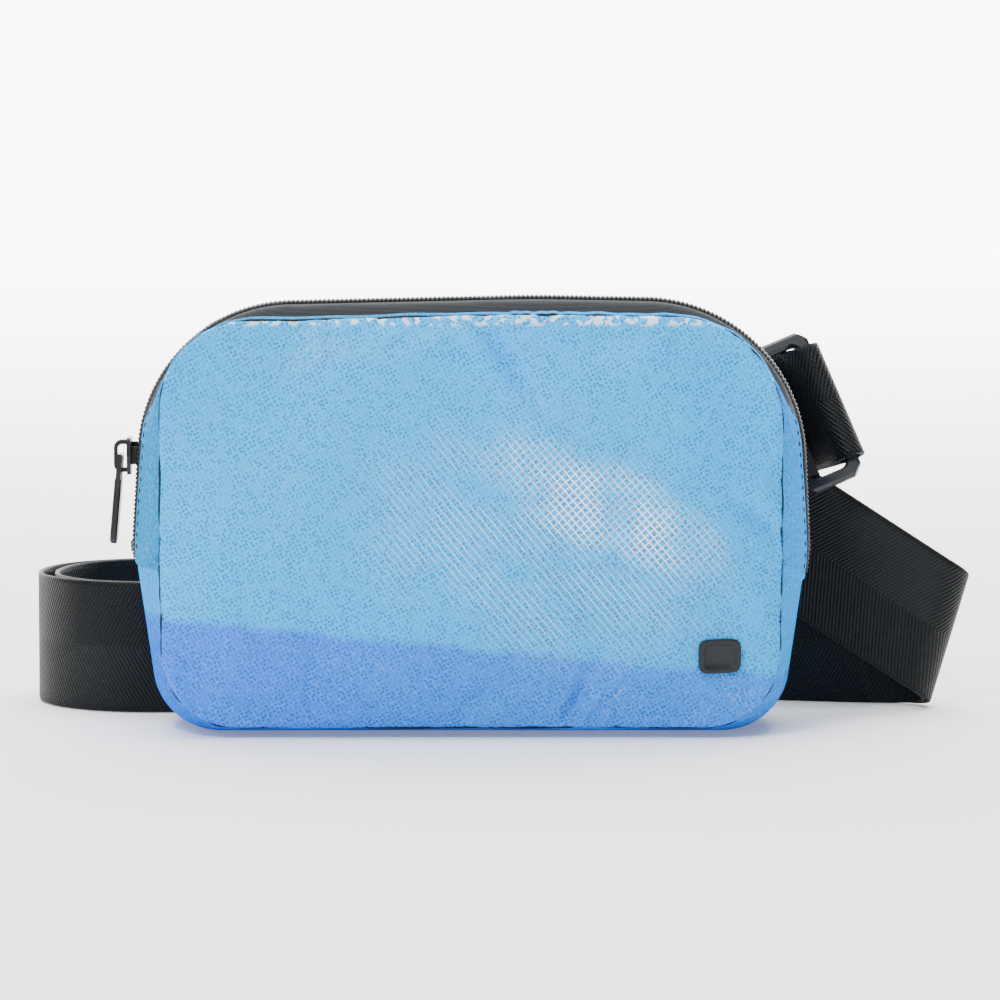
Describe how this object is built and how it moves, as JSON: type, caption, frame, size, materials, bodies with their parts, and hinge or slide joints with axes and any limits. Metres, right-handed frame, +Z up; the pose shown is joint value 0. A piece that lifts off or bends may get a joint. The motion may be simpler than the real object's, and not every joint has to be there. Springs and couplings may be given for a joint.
{
  "type": "belt bag",
  "caption": "Zipped belt bag of printed banner vinyl on a wide webbing strap with a plastic ring and an adjuster.",
  "frame": {"origin": "centre of the bag's flat underside, where it stands", "axes": "+X to the ring side, across the bag's width; +Y to the back panel, the front panel faces -Y; +Z up"},
  "size_m": [0.2781, 0.1248, 0.1231],
  "materials": {
    "vinyl_sky": "coated banner vinyl, printed light blue, glossy",
    "vinyl_periwinkle": "coated banner vinyl, printed periwinkle, glossy",
    "webbing": "black ribbed webbing, satin",
    "zip_tape": "black twill tape",
    "coil": "black moulded coil",
    "slider_metal": "black painted zinc",
    "ring_plastic": "black moulded acetal, satin",
    "lining": "dark grey coated nylon",
    "binding": "black binding tape",
    "badge_rubber": "black moulded rubber"
  },
  "bodies": {
    "bag": {"back_panel": "vinyl_sky", "back_lining": "lining", "rear_binding": "binding", "lower_gusset": "vinyl_periwinkle", "front_panel_lower": "vinyl_sky", "front_lining_lower": "lining", "front_binding_lower": "binding", "rear_zip_strip": "vinyl_sky", "rear_zip_tape": "zip_tape", "rear_zip_coil": "coil", "zip_end_stops": "slider_metal", "left_zip_end_seam": "vinyl_periwinkle", "right_zip_end_seam": "vinyl_periwinkle", "badge": "badge_rubber", "strap_diagonal_run": "webbing", "strap_right_turn": "webbing", "strap_upper_turn": "webbing", "strap_upper_run": "webbing", "strap_floor_run": "webbing", "strap_left_turn_outer": "webbing", "strap_left_turn_inner": "webbing", "strap_near_rise": "webbing", "strap_near_run": "webbing", "strap_anchor": "webbing", "ring_tab_loop": "webbing", "ring_tab_neck": "webbing", "ring_tab_patch": "webbing"},
    "mouth": {"front_panel_upper": "vinyl_sky", "front_lining_upper": "lining", "front_binding_upper": "binding", "front_zip_strip": "vinyl_sky", "front_zip_tape": "zip_tape", "front_zip_coil": "coil"},
    "slider": {"zip_slider": "slider_metal", "slider_crown": "slider_metal"},
    "pull": {"pull_tab": "slider_metal"},
    "ring": {"strap_ring": "ring_plastic", "strap_wrap": "webbing"},
    "adjuster": {"tri_glide": "ring_plastic"}
  },
  "joints": [
    {"name": "mouth_open", "type": "hinge", "parent": "bag", "child": "mouth", "pos_m": [0, -0.0262, 0.045], "axis": [1, 0, 0], "range_deg": [0, 22]},
    {"name": "slider_travel", "type": "hinge", "parent": "bag", "child": "slider", "pos_m": [-0.05072, 0, 0.07736], "axis": [0, 1, 0], "range_deg": [0, 83]},
    {"name": "pull_swing", "type": "hinge", "parent": "slider", "child": "pull", "pos_m": [-0.09922, 0, 0.07736], "axis": [0, 1, 0], "range_deg": [-2, 150]},
    {"name": "ring_swing", "type": "hinge", "parent": "bag", "child": "ring", "pos_m": [0.08987, 0.032, 0.08419], "axis": [0.3716, -0.309, -0.8755], "range_deg": [-8, 25]},
    {"name": "adjuster_slide", "type": "slide", "parent": "bag", "child": "adjuster", "axis": [1, 0, 0], "range_m": [-0.018, 0.018]}
  ]
}
